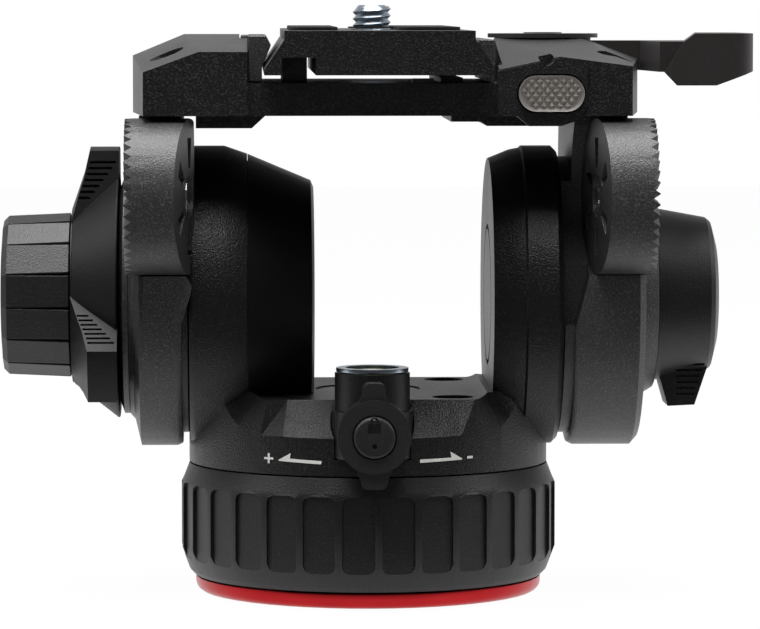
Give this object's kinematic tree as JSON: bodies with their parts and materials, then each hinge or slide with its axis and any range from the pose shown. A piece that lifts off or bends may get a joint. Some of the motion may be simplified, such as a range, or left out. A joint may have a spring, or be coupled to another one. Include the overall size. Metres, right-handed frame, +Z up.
{
  "type": "fluid video tripod head",
  "caption": "Fluid video head: flat round base with a ribbed drag ring, U-shaped yoke with level and lock, tilting twin-arm carrier with sliding camera plate, knobs and levers.",
  "frame": {"origin": "on the pan axis, in the plane of the base's underside", "axes": "+X to the operator's right along the tilt axis, +Y away from the operator, +Z up along the pan axis"},
  "size_m": [0.1768, 0.14, 0.1404],
  "materials": {
    "red_anodised": "red anodised, satin",
    "powder_coat": "cast aluminium, fine speckled powder coat",
    "matt_black": "cast aluminium, matt black paint",
    "moulded_black": "textured moulding",
    "satin_black": "satin",
    "grey_plastic": "satin",
    "zinc_steel": "zinc plated",
    "bare_steel": "turned",
    "bare_aluminium": "turned",
    "brass": "turned",
    "rubber": "matt",
    "vial_plastic": "clear, tinted",
    "nylon": "satin"
  },
  "bodies": {
    "base": {"base_plate": "red_anodised", "tripod_thread_insert": "bare_steel", "pan_spindle": "bare_steel", "pan_fluid_cup": "bare_aluminium", "pan_retaining_nut": "bare_steel"},
    "drag_ring": {"pan_drag_ring": "moulded_black"},
    "pan_body": {"yoke": "powder_coat", "pan_fluid_rotor": "bare_aluminium", "pan_thrust_bearing": "bare_steel", "floor_cover": "powder_coat", "level_housing": "moulded_black", "level_vial": "vial_plastic", "level_bezel": "zinc_steel", "counterbalance_cover": "satin_black", "counterbalance_spring": "bare_steel", "left_tilt_bearing": "bare_steel", "right_tilt_bearing": "bare_steel", "tilt_fluid_cup": "bare_aluminium"},
    "pan_lock": {"pan_lock_lever": "moulded_black", "pan_lock_cap": "satin_black", "pan_lock_spindle": "bare_steel"},
    "brake_shoe": {"pan_brake_shoe": "brass"},
    "carriage": {"left_arm": "matt_black", "right_arm": "matt_black", "left_rosette": "matt_black", "right_rosette": "matt_black", "left_rosette_bush": "bare_steel", "right_rosette_bush": "bare_steel", "left_tilt_axle": "bare_steel", "right_tilt_axle": "bare_steel", "tilt_fluid_rotor": "bare_aluminium", "selector_flange": "matt_black", "tilt_lock_collar": "matt_black", "plate_carrier": "powder_coat", "fixed_jaw": "matt_black", "front_jaw_spring": "bare_steel", "rear_jaw_spring": "bare_steel", "lever_pivot_screw": "bare_steel", "button_spring": "bare_steel"},
    "selector": {"counterbalance_selector": "moulded_black"},
    "drag_knob": {"tilt_drag_knob": "moulded_black", "tilt_drag_cap": "moulded_black"},
    "tilt_lock": {"tilt_lock_lever": "moulded_black"},
    "plate_lock": {"plate_lock_lever": "satin_black"},
    "jaw": {"moving_jaw": "matt_black"},
    "button": {"safety_button": "grey_plastic"},
    "catch": {"safety_catch": "bare_steel"},
    "plate": {"camera_plate": "powder_coat", "left_grip_pad": "rubber", "right_grip_pad": "rubber", "plate_stop": "bare_steel", "screw_washer": "nylon"},
    "screw": {"camera_screw": "zinc_steel"}
  },
  "joints": [
    {"name": "pan", "type": "hinge", "parent": "base", "child": "pan_body", "pos_m": [0, 0, 0.0313], "axis": [0, 0, 1], "continuous": true},
    {"name": "pan_drag", "type": "hinge", "parent": "pan_body", "child": "drag_ring", "pos_m": [0, 0, 0.0175], "axis": [0, 0, 1], "range_deg": [-135, 135]},
    {"name": "pan_lock_turn", "type": "hinge", "parent": "pan_body", "child": "pan_lock", "pos_m": [0, -0.05, 0.0417], "axis": [0, 1, 0], "range_deg": [0, 60]},
    {"name": "brake", "type": "slide", "parent": "pan_body", "child": "brake_shoe", "axis": [0, 1, 0], "range_m": [0, 0.0008]},
    {"name": "tilt", "type": "hinge", "parent": "pan_body", "child": "carriage", "pos_m": [0, 0, 0.071], "axis": [1, 0, 0], "range_deg": [-90, 60]},
    {"name": "counterbalance_select", "type": "hinge", "parent": "carriage", "child": "selector", "pos_m": [-0.0654, 0, 0.071], "axis": [1, 0, 0], "range_deg": [-120, 120]},
    {"name": "tilt_drag", "type": "hinge", "parent": "carriage", "child": "drag_knob", "pos_m": [-0.0792, 0, 0.071], "axis": [1, 0, 0], "range_deg": [-135, 135]},
    {"name": "tilt_lock_turn", "type": "hinge", "parent": "carriage", "child": "tilt_lock", "pos_m": [0.076, 0, 0.071], "axis": [1, 0, 0], "range_deg": [-60, 0]},
    {"name": "plate_lock_turn", "type": "hinge", "parent": "carriage", "child": "plate_lock", "pos_m": [0.0424, 0.008, 0.1292], "axis": [0, 0, 1], "range_deg": [0, 35]},
    {"name": "jaw_slide", "type": "slide", "parent": "carriage", "child": "jaw", "axis": [1, 0, 0], "range_m": [0, 0.0012]},
    {"name": "button_press", "type": "slide", "parent": "carriage", "child": "button", "axis": [0, 1, 0], "range_m": [0, 0.003], "stiffness_N_per_m": 400, "springref_m": -0.003},
    {"name": "catch_slide", "type": "slide", "parent": "carriage", "child": "catch", "axis": [0, 0, -1], "range_m": [0, 0.0016]},
    {"name": "plate_slide", "type": "slide", "parent": "carriage", "child": "plate", "axis": [0, 1, 0], "range_m": [-0.028, 0.028]},
    {"name": "screw_turn", "type": "hinge", "parent": "plate", "child": "screw", "pos_m": [0.0009, 0, 0.13], "axis": [0, 0, 1], "continuous": true}
  ],
  "couplings": [
    {"joint": "brake", "follows": "pan_lock_turn", "m_per_rad": 0.00076},
    {"joint": "jaw_slide", "follows": "plate_lock_turn", "m_per_rad": 0.00196},
    {"joint": "catch_slide", "follows": "button_press", "ratio": 0.533}
  ]
}
